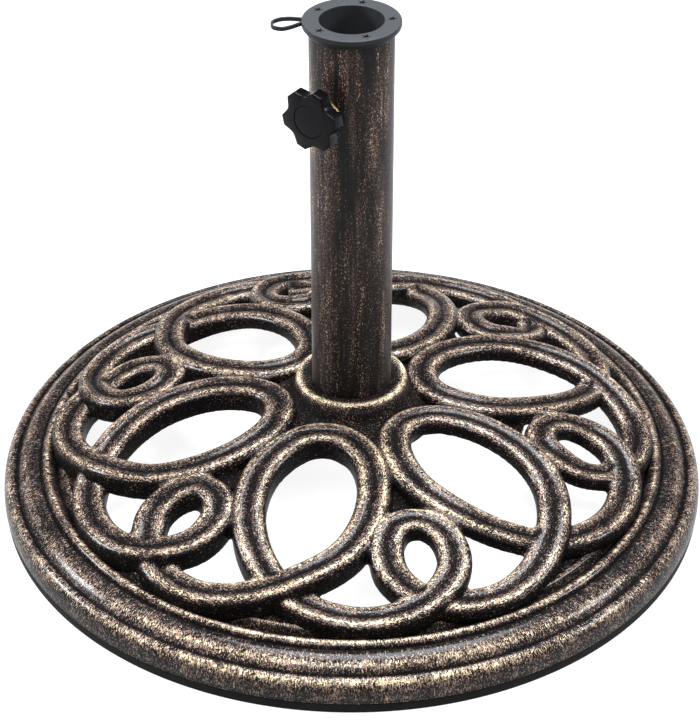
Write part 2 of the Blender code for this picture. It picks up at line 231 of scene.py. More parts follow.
def rounded(corners, steps=5):
    """A closed outline from (x, y, fillet) corners, with each fillet as an arc."""
    count = len(corners)
    made = []
    for i in range(count):
        before, here, after = corners[i - 1], corners[i], corners[(i + 1) % count]
        fillet = here[2]
        corner = Vector(here[:2])
        if fillet <= 0:
            made.append(tuple(corner))
            continue
        back = (Vector(before[:2]) - corner).normalized()
        ahead = (Vector(after[:2]) - corner).normalized()
        half = back.angle(ahead) / 2
        reach = fillet / math.tan(half)
        middle = corner + (back + ahead).normalized() * fillet / math.sin(half)
        start = corner + back * reach - middle
        end = corner + ahead * reach - middle
        sweep_angle = math.atan2(start.x * end.y - start.y * end.x, start.dot(end))
        for step in range(steps + 1):
            angle = sweep_angle * step / steps
            arc_point = Vector((
                start.x * math.cos(angle) - start.y * math.sin(angle),
                start.x * math.sin(angle) + start.y * math.cos(angle),
            ))
            made.append(tuple(middle + arc_point))
    return made


def turned(name, profile, material=None, steps=192, place=None):
    """A turned solid from an (r, z) outline that runs down the outer side.

    Points with r = 0 sit on the axis.
    """
    points = []
    rows = []
    for radius, height in profile:
        if radius < 1e-6:
            rows.append([len(points)] * steps)
            points.append((0.0, 0.0, height))
            continue
        rows.append(list(range(len(points), len(points) + steps)))
        for step in range(steps):
            points.append((*on_circle(radius, 2 * math.pi * step / steps), height))
    faces = []
    closes = profile[0][0] > 1e-6 or profile[-1][0] > 1e-6
    for i in range(len(rows) if closes else len(rows) - 1):
        upper, lower = rows[i], rows[(i + 1) % len(rows)]
        for step in range(steps):
            after = (step + 1) % steps
            face = [upper[step], lower[step], lower[after], upper[after]]
            face = [v for k, v in enumerate(face) if v not in face[:k]]
            if len(face) > 2:
                faces.append(face)
    if place is not None:
        points = [tuple(place @ Vector(p)) for p in points]
    return mesh_object(name, points, faces, material)


def lofted(name, rings, material=None, place=None, smooth=True):
    """A solid through closed rings of points, bottom first, with a flat cap on each end."""
    count = len(rings[0])
    points = [p for ring in rings for p in ring]
    faces = []
    for level in range(len(rings) - 1):
        for step in range(count):
            after = (step + 1) % count
            low, high = level * count, (level + 1) * count
            faces.append([low + step, low + after, high + after, high + step])
    faces.append(list(reversed(range(count))))
    faces.append([(len(rings) - 1) * count + k for k in range(count)])
    if place is not None:
        points = [tuple(place @ Vector(p)) for p in points]
    return mesh_object(name, points, faces, material, smooth)


def realised(obj):
    """The object with its modifiers applied."""
    bpy.context.view_layer.update()
    graph = bpy.context.evaluated_depsgraph_get()
    mesh = bpy.data.meshes.new_from_object(obj.evaluated_get(graph))
    obj.modifiers.clear()
    old = obj.data
    obj.data = mesh
    bpy.data.meshes.remove(old)
    obj.data.name = obj.name
    return obj


def cut(obj, *cutters, operation="DIFFERENCE"):
    for cutter in cutters:
        change = obj.modifiers.new("Cut", "BOOLEAN")
        change.operation = operation
        change.solver = "MANIFOLD"
        change.object = cutter
    realised(obj)
    for cutter in cutters:
        bpy.data.objects.remove(cutter)
    return obj


def sharp_by_angle(obj, degrees):
    obj.data.shade_smooth()
    obj.data.set_sharp_from_angle(angle=math.radians(degrees))
    return obj


def curve_points(before, start, end, after, parts):
    """Points of the smooth curve from start to just before end, with its neighbours given."""
    made = []
    for step in range(parts):
        t = step / parts
        made.append(
            0.5 * (
                2 * start
                + (end - before) * t
                + (2 * before - 5 * start + 4 * end - after) * t**2
                + (3 * start - before - 3 * end + after) * t**3
            )
        )
    return made


def smooth_loop(points, parts):
    """A closed curve through the points, with this many steps between two of them."""
    count = len(points)
    made = []
    for i in range(count):
        near = [Vector(points[(i + k) % count]) for k in (-1, 0, 1, 2)]
        made += curve_points(*near, parts)
    return made


def smooth_run(points, parts):
    """An open curve through the points."""
    first = 2 * Vector(points[0]) - Vector(points[1])
    last = 2 * Vector(points[-1]) - Vector(points[-2])
    route = [first, *map(Vector, points), last]
    made = []
    for i in range(1, len(route) - 2):
        made += curve_points(*route[i - 1:i + 3], parts)
    made.append(route[-2])
    return made


def sweep(path, section, cyclic, thinning=None):
    """Points and faces of an upright (across, up) section along a path.

    thinning(place) gives the share of the section's depth that is left below its shoulder.
    """
    count, width = len(path), len(section)
    points, faces = [], []
    for i, place in enumerate(path):
        if cyclic:
            ahead, back = path[(i + 1) % count], path[i - 1]
        else:
            ahead, back = path[min(i + 1, count - 1)], path[max(i - 1, 0)]
        along = ahead - back
        side = Vector((along.y, -along.x, 0)).normalized()
        share = thinning(place) if thinning else 1.0
        for across, up in section:
            height = up if up > SHOULDER else SHOULDER + (up - SHOULDER) * share
            points.append(place + side * across + Vector((0, 0, height)))
    for i in range(count if cyclic else count - 1):
        here, there = i * width, (i + 1) % count * width
        for k in range(width):
            after = (k + 1) % width
            faces.append([here + k, here + after, there + after, there + k])
    if not cyclic:
        faces.append(list(reversed(range(width))))
        faces.append([(count - 1) * width + k for k in range(width)])
    return points, faces


# Materials

class Shading:
    """A Principled material with short calls for its nodes."""

    def __init__(self, name):
        self.material = bpy.data.materials.new(name)
        self.material.use_nodes = True
        self.tree = self.material.node_tree
        self.out = self.tree.nodes["Principled BSDF"]
        self.place = self.add("ShaderNodeTexCoord").outputs["Object"]

    def add(self, kind, **settings):
        node = self.tree.nodes.new(kind)
        for key, value in settings.items():
            setattr(node, key, value)
        return node

    def put(self, socket, value):
        if isinstance(value, bpy.types.NodeSocket):
            self.tree.links.new(value, socket)
        elif isinstance(value, (tuple, list)) and len(value) == 3 and socket.type == "RGBA":
            socket.default_value = (*value, 1.0)
        else:
            socket.default_value = value

    def set(self, **values):
        for key, value in values.items():
            self.put(self.out.inputs[key.replace("_", " ")], value)

    def math(self, operation, first, second=0.0, third=0.0):
        node = self.add("ShaderNodeMath", operation=operation)
        for socket, value in zip(node.inputs, (first, second, third)):
            self.put(socket, value)
        return node.outputs[0]

    def plus(self, base, value, amount):
        """base + value * amount"""
        return self.math("MULTIPLY_ADD", value, amount, base)

    def swayed(self, base, noise, amount):
        """base, moved up and down by a noise's swing about its middle."""
        return self.plus(base, self.math("SUBTRACT", noise, 0.5), amount)

    def ramp(self, value, low, high, out_low=0.0, out_high=1.0):
        node = self.add("ShaderNodeMapRange", interpolation_type="SMOOTHSTEP")
        for key, given in (
            ("Value", value), ("From Min", low), ("From Max", high),
            ("To Min", out_low), ("To Max", out_high),
        ):
            self.put(node.inputs[key], given)
        return node.outputs["Result"]

    def drawn_down(self, scale):
        """The position squeezed along the upright axis, which draws a noise into strokes."""
        node = self.add("ShaderNodeMapping", vector_type="POINT")
        self.put(node.inputs["Vector"], self.place)
        node.inputs["Scale"].default_value = (1.0, 1.0, scale)
        return node.outputs[0]

    def noise(self, vector, scale, detail=2.0, roughness=0.5):
        node = self.add("ShaderNodeTexNoise")
        self.put(node.inputs["Vector"], vector)
        self.put(node.inputs["Scale"], scale)
        self.put(node.inputs["Detail"], detail)
        self.put(node.inputs["Roughness"], roughness)
        return node.outputs["Fac"]

    def mix(self, factor, first, second):
        node = self.add("ShaderNodeMix", data_type="RGBA")
        self.put(node.inputs[0], factor)
        self.put(node.inputs[6], first)
        self.put(node.inputs[7], second)
        return node.outputs[2]

    def bump(self, height, strength, distance, normal=None):
        node = self.add("ShaderNodeBump")
        self.put(node.inputs["Height"], height)
        node.inputs["Strength"].default_value = strength
        node.inputs["Distance"].default_value = distance
        if normal is not None:
            self.put(node.inputs["Normal"], normal)
        return node.outputs["Normal"]

    def attribute(self, name, output="Fac"):
        return self.add("ShaderNodeAttribute", attribute_name=name).outputs[output]

    def parts_of(self, vector):
        parts = self.add("ShaderNodeSeparateXYZ")
        self.put(parts.inputs[0], vector)
        return parts.outputs

    def round_the_axis(self, stretch):
        """The position wrapped round the upright axis and squeezed across, for brushed strokes."""
        x, y, z = self.parts_of(self.place)
        square = self.math("ADD", self.math("MULTIPLY", x, x), self.math("MULTIPLY", y, y))
        radius = self.math("SQRT", square)
        safe = self.math("MAXIMUM", radius, 0.001)
        join = self.add("ShaderNodeCombineXYZ")
        for socket, value in zip(join.inputs, (x, y)):
            share = self.math("DIVIDE", value, safe)
            self.put(socket, self.math("MULTIPLY", share, BASE_RADIUS * MM))
        across = self.math("SUBTRACT", radius, z)
        self.put(join.inputs[2], self.math("MULTIPLY", across, stretch))
        return join.outputs[0]


BLACK = (0.0042, 0.0039, 0.0040)
BROWN = (0.017, 0.0120, 0.0102)
RUBBED_BROWN = (0.060, 0.042, 0.036)
COPPER = (0.30, 0.200, 0.160)
PALE_GOLD = (0.87, 0.725, 0.47)
TUBE_BLACK = (0.0040, 0.0036, 0.0038)
TUBE_BROWN = (0.033, 0.0215, 0.0198)
TUBE_COPPER = (0.26, 0.185, 0.150)
TUBE_GOLD = (0.62, 0.45, 0.29)
COLLAR_BLACK = (0.021, 0.022, 0.025)
# The lighter colour of the collar's upward faces, as painted top light
COLLAR_PAINTED_TOP_LIGHT = (0.040, 0.043, 0.047)
KNOB_BLACK = (0.0022, 0.0022, 0.0032)
ZINC_YELLOW = (0.78, 0.56, 0.24)
ZINC_STAIN = (0.50, 0.36, 0.22)
STEEL_GREY = (0.36, 0.34, 0.32)
STEEL_STAIN = (0.20, 0.16, 0.13)
NYLON_WHITE = (0.72, 0.69, 0.62)
RUBBER_BLACK = (0.006, 0.006, 0.006)
RUBBER_WORN = (0.012, 0.012, 0.011)

TUBE_STREAKS = (0.225, 0.265)  # heights in metres between which the gold streaks grow bold
TUBE_SHADE = (0.08, 0.20)  # and those between which the brown comes in above the dark foot


def bronze_casting(name, flow):
    """Black enamel with gold rubbed over its crests, through a rough grain.

    The grain follows the strands or runs round the axis, if flow says so.
    """
    s = Shading(name)
    # On the lattice and the rim the crest attribute also carries painted front light: their gold is
    # fuller and paler at the front than on the sides and back.
    crest = s.attribute("crest")
    if flow == "strand":
        grain_place = s.attribute("flow", "Vector")
    else:
        grain_place = s.round_the_axis(0.30) if flow == "round" else s.place
    grain = s.noise(grain_place, 1350.0, 2.0, 0.6)
    fine = s.noise(s.place, 1900.0, 1.0, 0.5)
    patch = s.noise(s.place, 60.0, 2.0, 0.5)
    mottle = s.noise(s.place, 260.0, 2.0, 0.5)
    spread = crest
    for noise, amount in ((grain, 2.4), (fine, 1.6), (patch, 0.6), (mottle, 0.55)):
        spread = s.swayed(spread, noise, amount)

    gold = s.ramp(spread, 0.54, 0.70)
    tone = s.plus(s.noise(s.place, 420.0, 2.0, 0.6), crest, 0.75)
    metal = s.mix(s.ramp(tone, 0.74, 1.12), COPPER, PALE_GOLD)
    ground = s.mix(s.ramp(s.noise(s.place, 700.0, 3.0, 0.6), 0.50, 0.75), BLACK, BROWN)
    ground = s.mix(s.ramp(spread, 0.26, 0.58), ground, RUBBED_BROWN)
    s.set(Base_Color=s.mix(gold, ground, metal))
    s.set(Metallic=s.math("MULTIPLY", gold, 0.35))
    s.set(Roughness=s.plus(s.plus(0.16, fine, 0.25), gold, 0.22))

    proud = s.ramp(crest, 0.03, 0.22)
    glint = s.ramp(s.noise(s.place, 1300.0, 1.0, 0.5), 0.60, 0.68)
    glint = s.math("MULTIPLY", glint, proud)
    s.set(Specular_IOR_Level=s.plus(s.plus(0.02, glint, 0.8), gold, 0.25))
    s.set(Coat_Weight=s.math("MULTIPLY", proud, 0.26), Coat_Roughness=0.16)
    rough = s.bump(grain, 0.75, 0.0006)
    s.set(Normal=s.bump(s.noise(s.place, 700.0, 2.0, 0.5), 0.45, 0.0005, rough))
    return s.material


def bronze_tube(name):
    """The same finish drawn down a tube, in soft upright strokes."""
    s = Shading(name)
    height = s.parts_of(s.place)[2]
    bands = s.noise(s.drawn_down(0.12), 85.0, 3.0, 0.6)
    strokes = s.noise(s.drawn_down(0.06), 480.0, 2.0, 0.6)
    grain = s.noise(s.drawn_down(0.60), 1500.0, 2.0, 0.6)
    spread = s.swayed(s.math("SUBTRACT", strokes, 0.5), grain, 3.4)
    spread = s.swayed(spread, bands, s.ramp(height, *TUBE_STREAKS, 1.2, 2.4))

    brown = s.ramp(s.swayed(spread, bands, 2.0), -0.45, 0.25)
    brown = s.math("MULTIPLY", brown, s.ramp(height, *TUBE_SHADE, 0.15, 1.0))
    gold = s.ramp(spread, 0.34, 0.72)
    ground = s.mix(brown, TUBE_BLACK, TUBE_BROWN)
    tone = s.ramp(s.noise(s.drawn_down(0.2), 120.0), 0.45, 0.62)
    metal = s.mix(tone, TUBE_COPPER, TUBE_GOLD)
    s.set(Base_Color=s.mix(gold, ground, metal))
    s.set(Metallic=s.math("MULTIPLY", gold, 0.4))
    s.set(Roughness=s.plus(s.plus(0.28, grain, 0.18), gold, 0.12))
    s.set(Specular_IOR_Level=0.15, Sheen_Weight=0.06, Sheen_Roughness=0.3)
    s.set(Normal=s.bump(grain, 0.35, 0.0003))
    return s.material


def moulded_plastic(name, colour, roughness, shine=0.5, painted_top_light=None):
    """Moulded plastic; if a painted top light colour is given, its upward faces are painted
    lighter, as painted light from above.
    """
    s = Shading(name)
    grain = s.noise(s.place, 2200.0, 2.0, 0.6)
    wear = s.noise(s.place, 60.0, 3.0, 0.6)
    pale = tuple(c * 1.4 for c in colour)
    shade = s.mix(s.ramp(wear, 0.45, 0.8), colour, pale)
    if painted_top_light:
        # Painted top light: the upward faces are painted lighter than the sides.
        facing = s.add("ShaderNodeNewGeometry").outputs["Normal"]
        shade = s.mix(s.ramp(s.parts_of(facing)[2], 0.55, 0.95), shade, painted_top_light)
    s.set(Base_Color=shade)
    s.set(Roughness=s.plus(roughness - 0.08, wear, 0.16))
    s.set(Specular_IOR_Level=shine)
    s.set(Normal=s.bump(grain, 0.20, 0.0002))
    return s.material


def plated_metal(name, colour, stain, roughness):
    s = Shading(name)
    scuff = s.noise(s.place, 900.0, 3.0, 0.65)
    tarnish = s.noise(s.place, 140.0, 3.0, 0.6)
    s.set(Base_Color=s.mix(s.ramp(tarnish, 0.42, 0.72), colour, stain))
    s.set(Metallic=1.0)
    s.set(Roughness=s.plus(roughness - 0.1, scuff, 0.25))
    s.set(Normal=s.bump(scuff, 0.15, 0.0002))
    return s.material


def matt_rubber(name):
    s = Shading(name)
    grain = s.noise(s.place, 1400.0, 2.0, 0.6)
    wear = s.ramp(s.noise(s.place, 90.0, 3.0), 0.4, 0.8)
    s.set(Base_Color=s.mix(wear, RUBBER_BLACK, RUBBER_WORN))
    s.set(Roughness=s.plus(0.6, grain, 0.2))
    s.set(Specular_IOR_Level=0.12)
    s.set(Normal=s.bump(grain, 0.25, 0.0003))
    return s.material


CAST = bronze_casting("antique_bronze_cast", "plain")
CAST_STRAND = bronze_casting("antique_bronze_strand", "strand")
CAST_BRUSHED = bronze_casting("antique_bronze_brushed", "round")
TUBE_FINISH = bronze_tube("antique_bronze_drawn")
# The collar's upward faces are painted lighter, as painted top light.
COLLAR_PLASTIC = moulded_plastic("black_collar_plastic", COLLAR_BLACK, 0.36, 0.12, COLLAR_PAINTED_TOP_LIGHT)
KNOB_PLASTIC = moulded_plastic("black_knob_plastic", KNOB_BLACK, 0.22, 0.10)
ZINC = plated_metal("yellow_zinc_plate", ZINC_YELLOW, ZINC_STAIN, 0.30)
STEEL = plated_metal("mild_steel_plate", STEEL_GREY, STEEL_STAIN, 0.42)
RUBBER = matt_rubber("black_rubber_matt")
NYLON = moulded_plastic("pale_nylon_tip", NYLON_WHITE, 0.45)


# The crest measure: how much gold the casting's finish puts on each point, from its shape, with
# painted front light on the lattice and the rim

def vertex_places(mesh):
    """The mesh's points, in millimetres."""
    flat = np.empty(len(mesh.vertices) * 3, np.float32)
    mesh.vertices.foreach_get("co", flat)
    return flat.reshape(-1, 3).astype(np.float64) / MM


def vertex_normals(mesh):
    flat = np.empty(len(mesh.vertices) * 3, np.float32)
    mesh.vertex_normals.foreach_get("vector", flat)
    return flat.reshape(-1, 3).astype(np.float64)


def smooth_share(values, low, high):
    share = np.clip((values - low) / (high - low), 0, 1)
    return share * share * (3 - 2 * share)


def front_lit_share(angles, least):
    """Painted front light: how much of the gold shows at these angles round the axis, less on the
    sides and back.
    """
    away = np.abs((np.degrees(angles) - FRONT_AZIMUTH + 180.0) % 360.0 - 180.0)
    return 1.0 - (1.0 - least) * smooth_share(away, FRONT_LIT_WITHIN, FRONT_LIT_LEAST_BEYOND)


def write_crest(obj, values):
    layer = obj.data.attributes.new("crest", "FLOAT", "POINT")
    layer.data.foreach_set("value", np.ascontiguousarray(values, np.float32))


def write_flow(obj, places):
    """The position that the grain reads, in millimetres."""
    layer = obj.data.attributes.new("flow", "FLOAT_VECTOR", "POINT")
    layer.data.foreach_set("vector", np.ascontiguousarray((places * MM).ravel(), np.float32))


def add_ribbon_crest(obj):
    """The lattice's crest measure, from how far each point lies across its strand, with painted
    front light by its angle round the axis, and its flow.
    """
    path = ribbon_path(3 * RIBBON_STEPS)
    tree = KDTree(len(path))
    for index, place in enumerate(path):
        tree.insert(place, index)
    tree.balance()
    places = vertex_places(obj.data)
    nearest = np.array([tree.find(place)[1] for place in places])
    route = np.array(path)
    step = np.roll(route, -1, axis=0) - np.roll(route, 1, axis=0)
    length = np.linalg.norm(step[:, :2], axis=1)
    ahead = step[:, :2] / length[:, None]
    side = np.stack([ahead[:, 1], -ahead[:, 0]], axis=1)
    offset = places - route[nearest]
    across = (offset[:, :2] * side[nearest]).sum(axis=1)
    along = np.cumsum(length)[nearest] / 2 + (offset[:, :2] * ahead[nearest]).sum(axis=1)
    write_flow(obj, np.stack([along * STRAND_STRETCH, across, places[:, 2]], axis=1))

    aside = np.abs(across)
    bead = BAND_MEASURE * np.exp(-(((aside - BAND_AT) / BAND_WIDTH) ** 4))
    bead *= smooth_share(aside, 0.2, 1.5)
    bead += LINE_MEASURE * np.exp(-(((aside - LINE_AT) / LINE_WIDTH) ** 2))
    bead *= smooth_share(offset[:, 2], -3.5, 0.3)
    bead *= smooth_share(vertex_normals(obj.data)[:, 2], 0.10, 0.75)
    # Painted front light: less gold on the sides and back than at the front.
    bead *= front_lit_share(np.arctan2(places[:, 1], places[:, 0]), LATTICE_LEAST_LIT)
    write_crest(obj, bead + STRAND_GROUND)


# The casting: lattice, rim and hub

def groove_z(radius):
    """The height of the ribbon's groove: the lattice falls from the hub to the rim."""
    share = radius / 200.0
    return 69.5 - 30.0 * share**2 - 12.0 * share**6


def ribbon_section():
    """Two round beads with a tight groove between, on a tapered bar."""
    angles = [math.pi / 2 * step / BEAD_STEPS for step in range(1, BEAD_STEPS + 1)]
    reach = RIBBON_HALF_WIDTH - BEAD_OFFSET
    rise = BEAD_RISE - GROOVE_LIFT
    side = [
        (BEAD_OFFSET - BEAD_OFFSET * math.cos(a), GROOVE_LIFT + rise * math.sin(a))
        for a in angles
    ]
    side += [
        (BEAD_OFFSET + reach * math.sin(a), BEAD_RISE - BEAD_DROP + BEAD_DROP * math.cos(a))
        for a in angles
    ]
    side += [
        (RIBBON_HALF_WIDTH, -RIBBON_DEPTH * 0.6),
        (RIBBON_HALF_WIDTH - 0.3, -RIBBON_DEPTH + 0.8),
        (RIBBON_HALF_WIDTH - 1.2, -RIBBON_DEPTH),
    ]
    return [(-x, z) for x, z in reversed(side)] + [(0.0, GROOVE_LIFT)] + side


def ribbon_path(parts):
    loop = []
    for sector in range(SECTORS):
        turn = Matrix.Rotation(math.radians(360 / SECTORS * sector), 3, "Z")
        loop += [turn @ Vector(point) for point in RIBBON_SECTOR]
    return [
        p + Vector((0, 0, groove_z(math.hypot(p.x, p.y)))) for p in smooth_loop(loop, parts)
    ]


def thinned(place):
    """The share of its depth that a strand keeps: the casting is heavier on one side."""
    turn = math.degrees(math.atan2(place.y, place.x)) - DEEP_AZIMUTH
    away = abs((turn + 180.0) % 360.0 - 180.0)
    return 1.0 - (1.0 - THIN_SHARE) * float(smooth_share(away, DEEP_WITHIN, THIN_BEYOND))


def strut_path(sector):
    """A web's route, from the hub out between two petals."""
    angle = math.radians(STRUT_DIRECTION + 360 / SECTORS * sector)
    near, far = STRUT_REACH
    path = []
    for step in range(STRUT_STEPS + 1):
        radius = near + (far - near) * step / STRUT_STEPS
        path.append(Vector((*on_circle(radius, angle), groove_z(radius) - STRUT_DROP)))
    return path


def strut_section():
    half = STRUT_HALF_WIDTH
    return [(-half, -STRUT_THICKNESS), (-half, 0), (half, 0), (half, -STRUT_THICKNESS)]


def make_lattice():
    points, faces = sweep(ribbon_path(RIBBON_STEPS), ribbon_section(), True, thinned)
    for sector in range(SECTORS):
        more, more_faces = sweep(strut_path(sector), strut_section(), False)
        faces += [[k + len(points) for k in face] for face in more_faces]
        points += more
    lattice = mesh_object("lattice_casting", points, faces, CAST_STRAND)
    fuse = lattice.modifiers.new("Fuse", "REMESH")
    fuse.mode = "VOXEL"
    fuse.voxel_size = LATTICE_VOXEL * MM
    ease = lattice.modifiers.new("Ease", "SMOOTH")
    ease.factor = 0.5
    ease.iterations = 2
    realised(lattice)
    drop_crumbs(lattice)
    add_ribbon_crest(lattice)
    roughen(lattice)
    lattice.data.shade_smooth()
    return lattice


def drop_crumbs(obj):
    """Deletes every loose body but the largest."""
    edges = np.empty(len(obj.data.edges) * 2, np.int32)
    obj.data.edges.foreach_get("vertices", edges)
    first, second = edges.reshape(-1, 2).T
    body = np.arange(len(obj.data.vertices))
    while True:
        joined = body.copy()
        np.minimum.at(joined, first, body[second])
        np.minimum.at(joined, second, body[first])
        joined = joined[joined]
        if (joined == body).all():
            break
        body = joined
    crumbs = np.flatnonzero(body != np.bincount(body).argmax())
    edit = bmesh.new()
    edit.from_mesh(obj.data)
    edit.verts.ensure_lookup_table()
    bmesh.ops.delete(edit, geom=[edit.verts[k] for k in crumbs], context="VERTS")
    edit.to_mesh(obj.data)
    edit.free()


def roughen(obj):
    """A cast skin: a slight uneven swelling of the surface."""
    clouds = bpy.data.textures.new("cast_skin", "CLOUDS")
    clouds.noise_scale = SKIN_SIZE * MM
    skin = obj.modifiers.new("Skin", "DISPLACE")
    skin.texture = clouds
    skin.texture_coords = "LOCAL"
    skin.strength = SKIN_HEIGHT * MM
    skin.mid_level = 0.5
    realised(obj)


def rim_outline():
    """The rim's outline, with the crest measure at each of its points."""
    outline = []
    for (crest_at, width, peak), run in RIM_MOULDINGS:
        for point in smooth_run(run, RIM_RUN_STEPS)[:-1]:
            crest = RIM_GROUND + peak * math.exp(-(((point.x - crest_at) / width) ** 2))
            for groove in RIM_GROOVES:
                crest -= GROOVE_MEASURE * math.exp(-(((point.x - groove) / GROOVE_WIDTH) ** 2))
            outline.append((point.x, point.y, crest))
    # Down the side, then back under the rim over the floor ring
    outline += [
        (228.5, 11.4, 0.34), (228.59, 9.6, 0.24), (BASE_RADIUS, 8.3, 0.12),
        (BASE_RADIUS, CASTING_FOOT + 0.5, 0.5), (BASE_RADIUS - 0.5, CASTING_FOOT, 0.3),
        (217.0, CASTING_FOOT, 0.0), (216.5, CASTING_FOOT + 0.5, 0.0), (215.5, 13.0, 0.0),
        (207.0, 18.0, 0.0), (178.6, 20.2, 0.0),
    ]
    return outline


def make_rim():
    outline = rim_outline()
    rim = turned("rim_casting", [(r, z) for r, z, _ in outline], CAST_BRUSHED, RIM_STEPS)
    # Painted front light: the gold above the rim's ground shrinks on the sides and back.
    share = front_lit_share(2 * math.pi * np.arange(RIM_STEPS) / RIM_STEPS, RIM_LEAST_LIT)
    crest = np.array([crest for _, _, crest in outline])
    above = np.maximum(crest - RIM_GROUND, 0.0)
    write_crest(rim, (np.outer(above, share) + np.minimum(crest, RIM_GROUND)[:, None]).ravel())
    return rim


def hub_outline():
    """The hub's outline, with the crest measure at each of its points."""
    pocket = TUBE_RADIUS + GAP
    return [
        (pocket, 80.2, 0.0), (27.0, 80.5, 0.05), (30.0, 80.8, 0.14), (32.4, 81.3, 0.52),
        (33.8, 81.4, 0.72), (35.0, 80.9, 0.66), (35.9, 79.7, 0.42), (36.5, 77.8, 0.20),
        (37.0, 75.4, 0.10), (37.7, 72.7, 0.04), (38.9, 70.4, 0.02), (40.8, 68.3, 0.0),
        (43.4, 66.3, 0.0), (46.5, 64.6, 0.0), (51.0, 62.6, 0.0), (56.0, 61.0, 0.0),
        (56.0, 56.0, 0.0), (44.0, HUB_UNDER_Z, 0.0), (BOLT_HOLE, HUB_UNDER_Z, 0.0),
        (BOLT_HOLE, SEAT_Z, 0.0), (pocket, SEAT_Z, 0.0),
    ]


def make_hub():
    outline = hub_outline()
    steps = 192
    hub = turned("hub_casting", [(r, z) for r, z, _ in outline], CAST, steps)
    write_crest(hub, np.repeat([crest for _, _, crest in outline], steps))
    return sharp_by_angle(hub, 50)


def make_floor_ring():
    outline = rounded([
        (217.6, 7.0, 0.3), (228.0, 7.0, 0.6), (228.0, 0.0, 1.0), (213.2, 0.0, 1.0),
        (213.2, 10.5, 0.5), (214.9, 10.5, 0.5), (214.9, 7.0, 0.0),
    ])
    return turned("rubber_floor_ring", outline, RUBBER, 360)


# The upright

def clamp_place():
    """The clamp's frame: +Z points out from the tube's axis."""
    round_the_tube = Matrix.Rotation(math.radians(CLAMP_AZIMUTH), 4, "Z")
    outward = Matrix.Rotation(math.radians(90), 4, "Y")
    return Matrix.Translation((0, 0, CLAMP_Z)) @ (round_the_tube @ outward)


CLAMP = clamp_place()


def drill(name, radius, low, high):
    """A round cutter along the clamp's axis."""
    return turned(name, [(0, high), (radius, high), (radius, low), (0, low)], None, 48, CLAMP)


def make_tube():
    inner = TUBE_RADIUS - TUBE_WALL
    outline = rounded([
        (TUBE_RADIUS, TUBE_TOP, 0.4), (TUBE_RADIUS, TUBE_FOOT, 0.4),
        (inner, TUBE_FOOT, 0.3), (inner, TUBE_TOP, 0.3),
    ])
    tube = turned("upright_tube", outline, TUBE_FINISH)
    cut(tube, drill("screw_hole", SCREW_HOLE, 10, 40))
    return sharp_by_angle(tube, 40)


def star(turn):
    """A star's outline about the origin."""
    made = []
    for k in range(2 * STAR_POINTS):
        reach = STAR_REACH if k % 2 == 0 else STAR_WAIST
        made.append(on_circle(reach, turn + math.pi * k / STAR_POINTS))
    return made


def make_collar():
    sleeve = TUBE_RADIUS - TUBE_WALL - GAP
    low = TUBE_TOP + GAP
    high = low + COLLAR_FLANGE
    bush = turned(
        "collar_flange",
        rounded([
            (BUSH_BORE, high, 0.3), (BUSH_RADIUS, high, 0.4), (BUSH_RADIUS, low, 1.3),
            (sleeve, low, 0.0), (sleeve, BUSH_END, 0.8), (BUSH_BORE, BUSH_END, 0.3),
        ]),
        COLLAR_PLASTIC,
    )
    reducer = turned(
        "collar_reducer",
        rounded([
            (REDUCER_BORE, TOP, 0.4), (REDUCER_RADIUS, TOP, 0.6), (REDUCER_RADIUS, high + GAP, 0.4),
            (BUSH_BORE - GAP, high + GAP, 0.0), (BUSH_BORE - GAP, REDUCER_END, 0.8),
            (REDUCER_BORE, REDUCER_END, 0.4),
        ]),
        COLLAR_PLASTIC,
    )
    cutters = []
    for k in range(STAR_POCKETS):
        middle = math.radians(STAR_TURN + 360 / STAR_POCKETS * k)
        shift = Vector(on_circle(STAR_RING, middle))
        outline = star(middle)
        rings = [
            [(x + shift.x, y + shift.y, z) for x, y in outline]
            for z in (TOP - STAR_DEPTH, TOP + 1.0)
        ]
        cutters.append(lofted(f"star_pocket_{k}", rings, None, None, False))
    cut(reducer, *cutters)
    sharp_by_angle(reducer, 35)
    return bush, reducer, make_pull_loop()


def make_pull_loop():
    """A thin flat strap bent into a teardrop, moulded on the reducer's edge."""
    section = [(-0.6, -1.3, 0.3), (-0.6, 1.3, 0.3), (0.6, 1.3, 0.3), (0.6, -1.3, 0.3)]
    points, faces = sweep(smooth_run(PULL_LOOP, 8), rounded(section, 3), False)
    return mesh_object("pull_loop_strap", points, faces, COLLAR_PLASTIC)


# The clamp

def chamfered_hex(name, across_flats, low, high, material, chamfers, place=None):
    """A hexagon trimmed by a cone at its low or high end, as a turned nut or bolt head is."""
    corner = across_flats / 2 / math.cos(math.pi / 6)
    corners = [(*on_circle(corner, math.pi * k / 3), HEX_FILLET) for k in range(6)]
    outline = rounded(corners, 4)
    rings = [[(x, y, z) for x, y in outline] for z in (low, high)]
    body = lofted(name, rings, material, place, False)

    inner = across_flats / 2 * CHAMFER_SHARE
    outer = corner + 1
    fall = CHAMFER_SLOPE * (outer - inner)
    if "high" in chamfers:
        profile = [(0, high), (inner, high), (outer, high - fall)]
    else:
        profile = [(0, high), (outer, high)]
    if "low" in chamfers:
        profile += [(outer, low + fall), (inner, low), (0, low)]
    else:
        profile += [(outer, low), (0, low)]
    cone = turned(name + "_cone", profile, None, 96, place)
    return cut(body, cone, operation="INTERSECT")


def thread(radius, depth, pitch, low, high, steps):
    """Rings of a round shank whose surface follows one helical V thread."""
    rows = int((high - low) / (pitch / THREAD_ROWS))
    rings = []
    for row in range(rows + 1):
        height = low + (high - low) * row / rows
        fade = min(1.0, min(height - low, high - height) / pitch + 0.05)
        ring = []
        for step in range(steps):
            phase = (height / pitch - step / steps) % 1.0
            reach = radius - depth * fade * (1 - abs(2 * phase - 1))
            ring.append((*on_circle(reach, 2 * math.pi * step / steps), height))
        rings.append(ring)
    return rings


